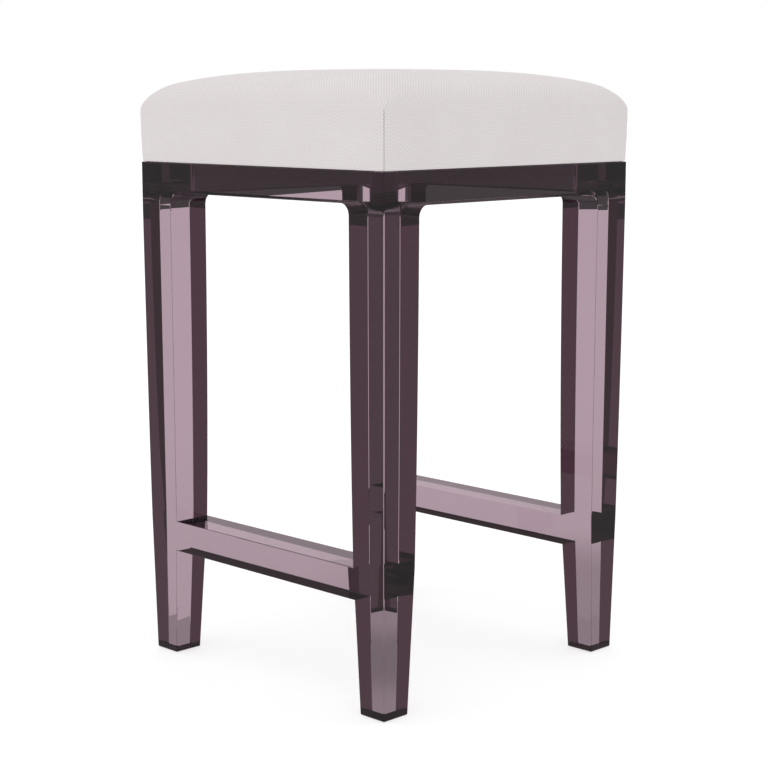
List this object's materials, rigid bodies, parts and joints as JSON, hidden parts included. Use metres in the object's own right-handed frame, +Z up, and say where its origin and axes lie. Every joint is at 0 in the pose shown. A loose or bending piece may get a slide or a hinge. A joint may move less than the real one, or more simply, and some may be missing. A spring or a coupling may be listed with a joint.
{
  "type": "counter stool",
  "caption": "Square backless counter stool: clear polished acrylic legs, aprons and low stretchers under a thick upholstered block seat.",
  "frame": {"origin": "on the floor, under the middle of the seat", "axes": "+Z up, the front faces -Y, the stretchers run along X under the front and the back"},
  "size_m": [0.3846, 0.3846, 0.6583],
  "materials": {
    "acrylic": "clear acrylic with a faint grey rose tint, polished on all faces",
    "seat_fabric": "off-white fine plain weave upholstery cloth",
    "wadding": "white polyester wadding",
    "foam": "cream open-cell foam",
    "plywood": "raw birch plywood",
    "dust_cloth": "black non-woven dust cloth",
    "painted_board": "board painted matt dark grey",
    "zinc_steel": "zinc plated steel",
    "felt": "dark grey pressed felt"
  },
  "bodies": {
    "root": {"front_left_leg": "acrylic", "front_right_leg": "acrylic", "back_left_leg": "acrylic", "back_right_leg": "acrylic", "front_apron": "acrylic", "back_apron": "acrylic", "left_apron": "acrylic", "right_apron": "acrylic", "front_stretcher": "acrylic", "back_stretcher": "acrylic", "felt_pads": "felt", "seat_fabric": "seat_fabric", "seat_wadding": "wadding", "seat_foam": "foam", "seat_board": "plywood", "dust_cover": "dust_cloth", "locating_board": "painted_board", "locating_screws": "zinc_steel", "staples": "zinc_steel"}
  },
  "joints": []
}
